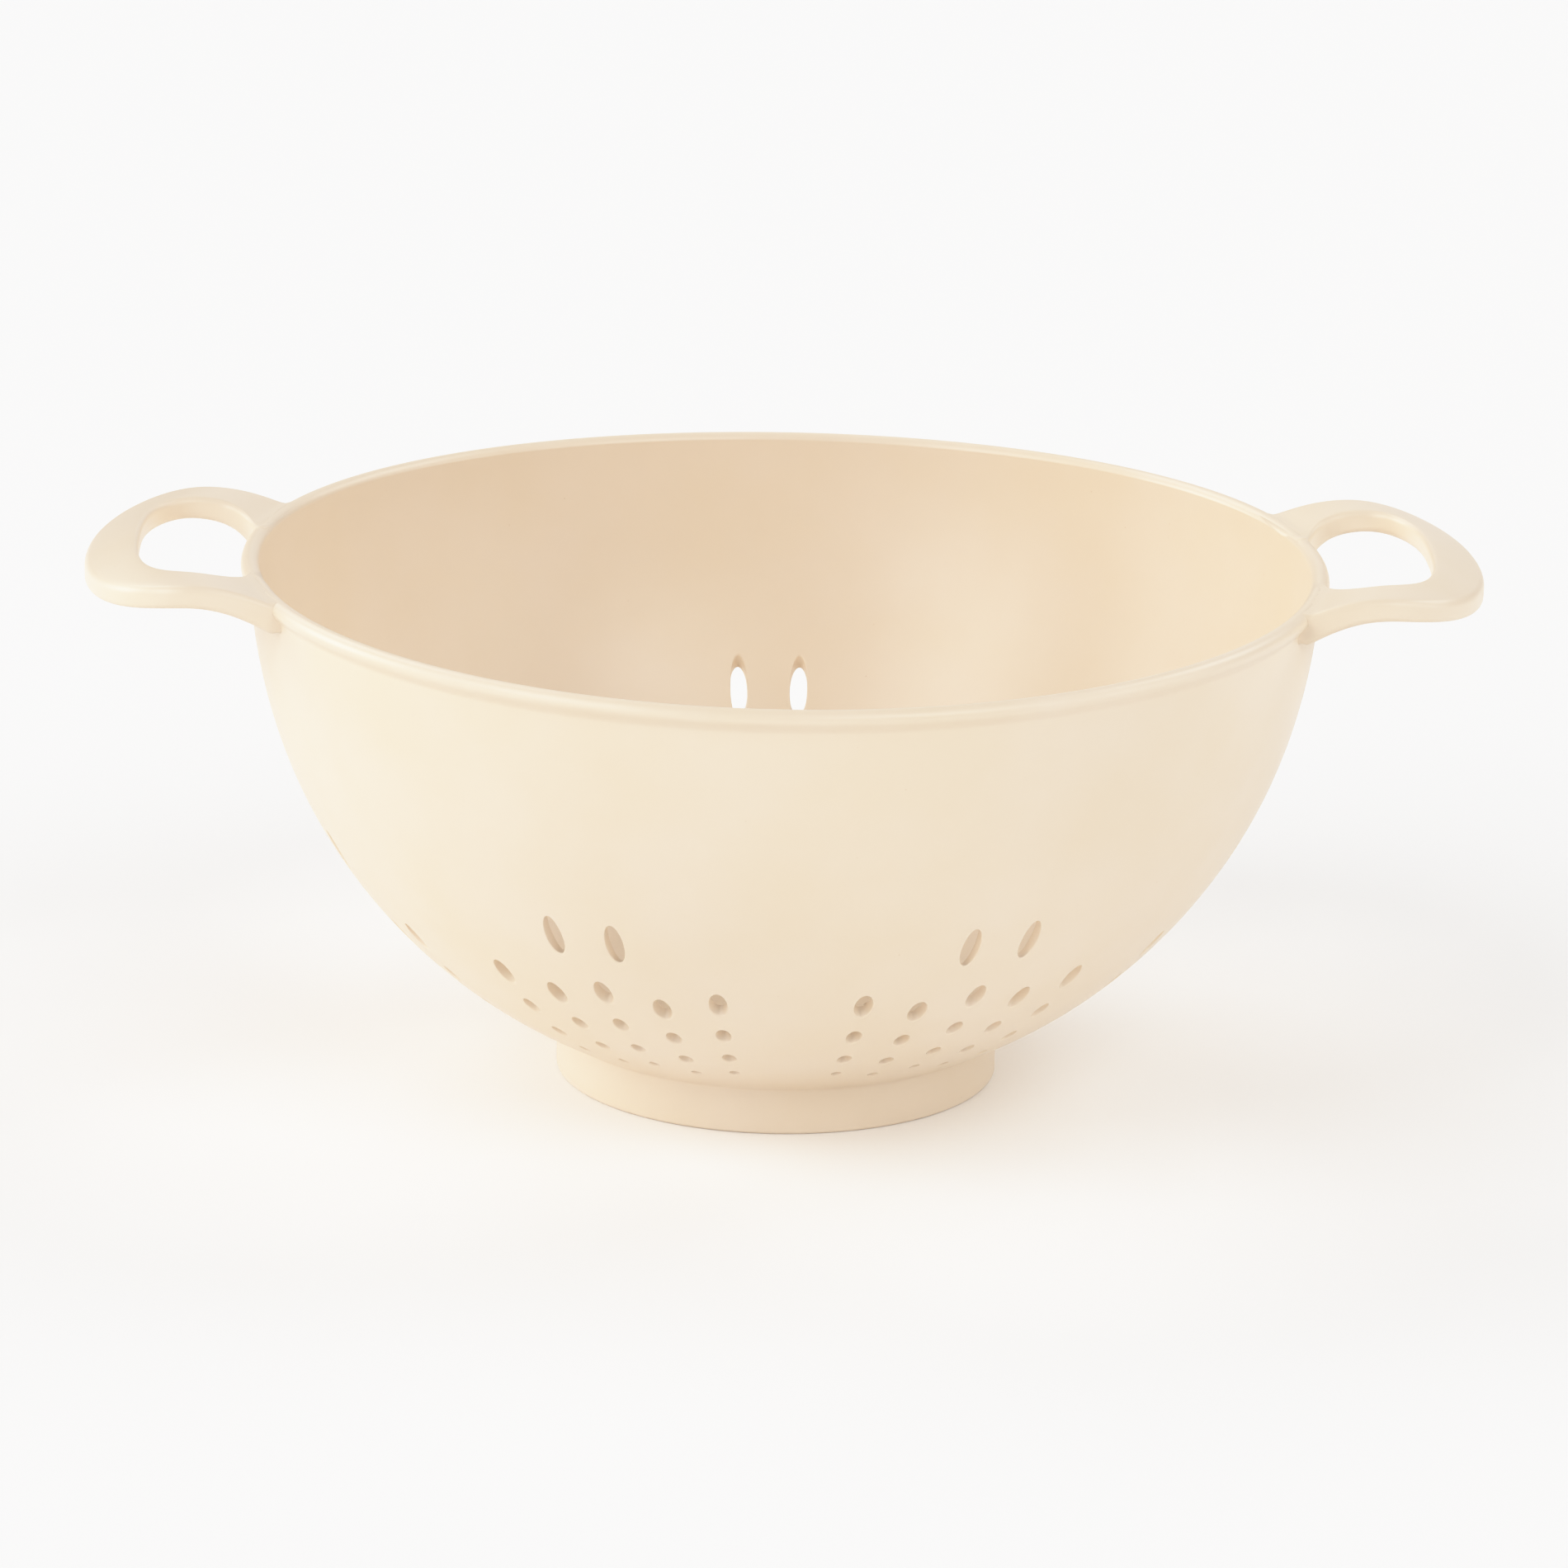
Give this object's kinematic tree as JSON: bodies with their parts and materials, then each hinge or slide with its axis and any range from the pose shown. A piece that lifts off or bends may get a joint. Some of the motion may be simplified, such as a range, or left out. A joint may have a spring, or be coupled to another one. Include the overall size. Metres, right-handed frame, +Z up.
{
  "type": "colander",
  "caption": "Hemispherical one-piece colander on a ring foot, with a beaded rim, two arched loop handles and tapering clusters of drain holes.",
  "frame": {"origin": "centre of the foot ring's underside, on the surface that the colander stands on", "axes": "+Z up through the bowl's axis, X through both handles"},
  "size_m": [0.315, 0.245, 0.1243],
  "materials": {
    "moulded_body": "satin cream melamine, the same all over"
  },
  "bodies": {
    "root": {"rim_bead": "moulded_body", "bowl_wall": "moulded_body", "drain_basin": "moulded_body", "base_floor": "moulded_body", "foot_ring": "moulded_body", "left_handle": "moulded_body", "right_handle": "moulded_body"}
  },
  "joints": []
}
